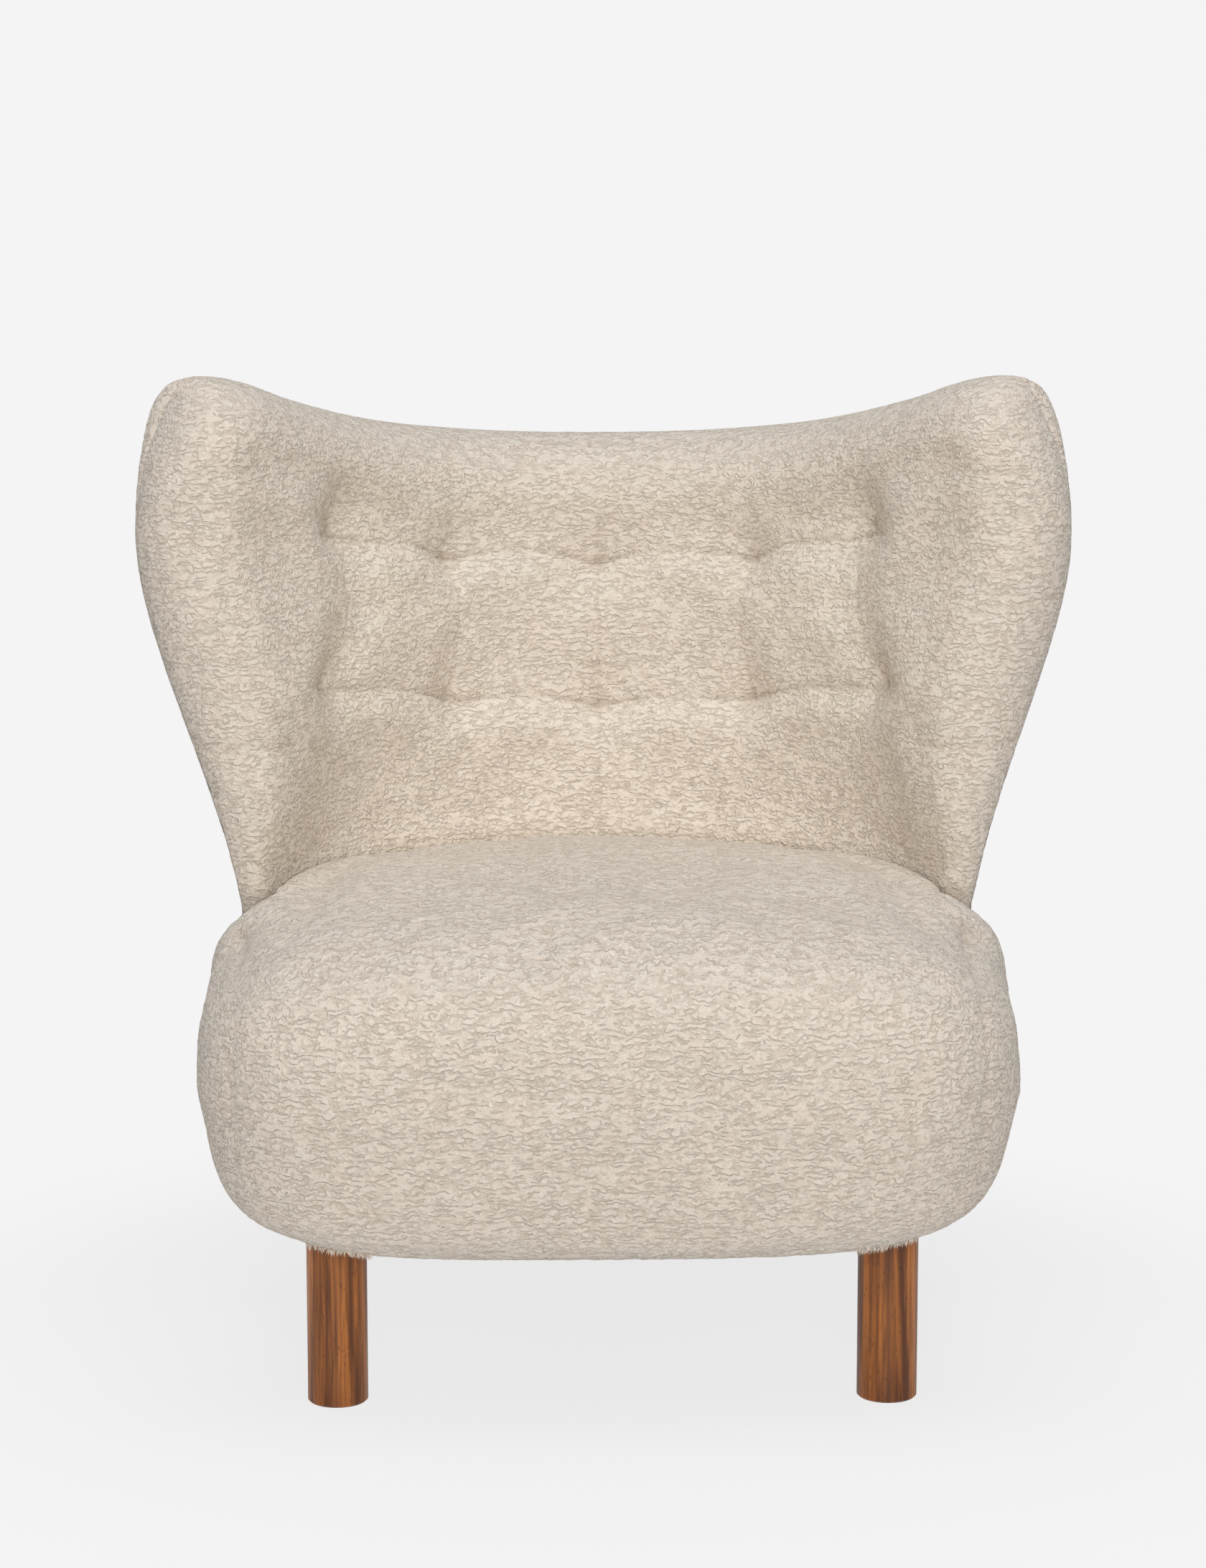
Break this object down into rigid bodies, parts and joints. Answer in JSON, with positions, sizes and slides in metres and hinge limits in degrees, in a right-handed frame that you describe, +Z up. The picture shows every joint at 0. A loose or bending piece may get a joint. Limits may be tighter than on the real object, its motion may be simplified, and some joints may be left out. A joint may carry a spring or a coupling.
{
  "type": "accent chair",
  "caption": "Low lounge chair with flared wings, a puffed seat and a sewn tufted inner back in woolly looped cloth, on short round walnut legs.",
  "frame": {"origin": "on the floor, in the middle of the chair's footprint box", "axes": "+X to the sitter's left, seen from the front to the right; -Y is the front; +Z is up"},
  "size_m": [0.813, 0.7376, 0.8349],
  "materials": {
    "wool_cloth": "matte looped pile",
    "walnut": "satin oiled",
    "bottom_cloth": "matte",
    "lining_cloth": "matte",
    "padding": "matte",
    "plywood": "matte",
    "beech": "matte",
    "steel": "plain"
  },
  "bodies": {
    "root": {"leg_front_left": "walnut", "leg_front_right": "walnut", "leg_rear_left": "walnut", "leg_rear_right": "walnut", "leg_bolt_front_left": "steel", "leg_bolt_front_right": "steel", "leg_bolt_rear_left": "steel", "leg_bolt_rear_right": "steel", "leg_nut_front_left": "steel", "leg_nut_front_right": "steel", "leg_nut_rear_left": "steel", "leg_nut_rear_right": "steel", "seat_rail_front": "beech", "seat_rail_rear": "beech", "seat_rail_left": "beech", "seat_rail_right": "beech", "corner_block_left": "beech", "corner_block_right": "beech", "bearer_left": "beech", "bearer_right": "beech", "spring_1": "steel", "spring_2": "steel", "spring_3": "steel", "spring_4": "steel", "spring_5": "steel", "spring_bar_front": "steel", "spring_bar_rear": "steel", "seat_lining": "lining_cloth", "seat_foam": "padding", "seat_border": "padding", "seat_cover": "wool_cloth", "dust_cover": "bottom_cloth", "back_base": "plywood", "former_middle": "plywood", "former_top": "plywood", "stile_lower_left": "beech", "stile_lower_right": "beech", "stile_upper_left": "beech", "stile_upper_right": "beech", "wing_panel_left": "plywood", "wing_panel_right": "plywood", "back_padding_inner": "padding", "back_padding_outer": "padding", "inner_back_cover": "wool_cloth", "outer_back_cover": "wool_cloth"}
  },
  "joints": []
}
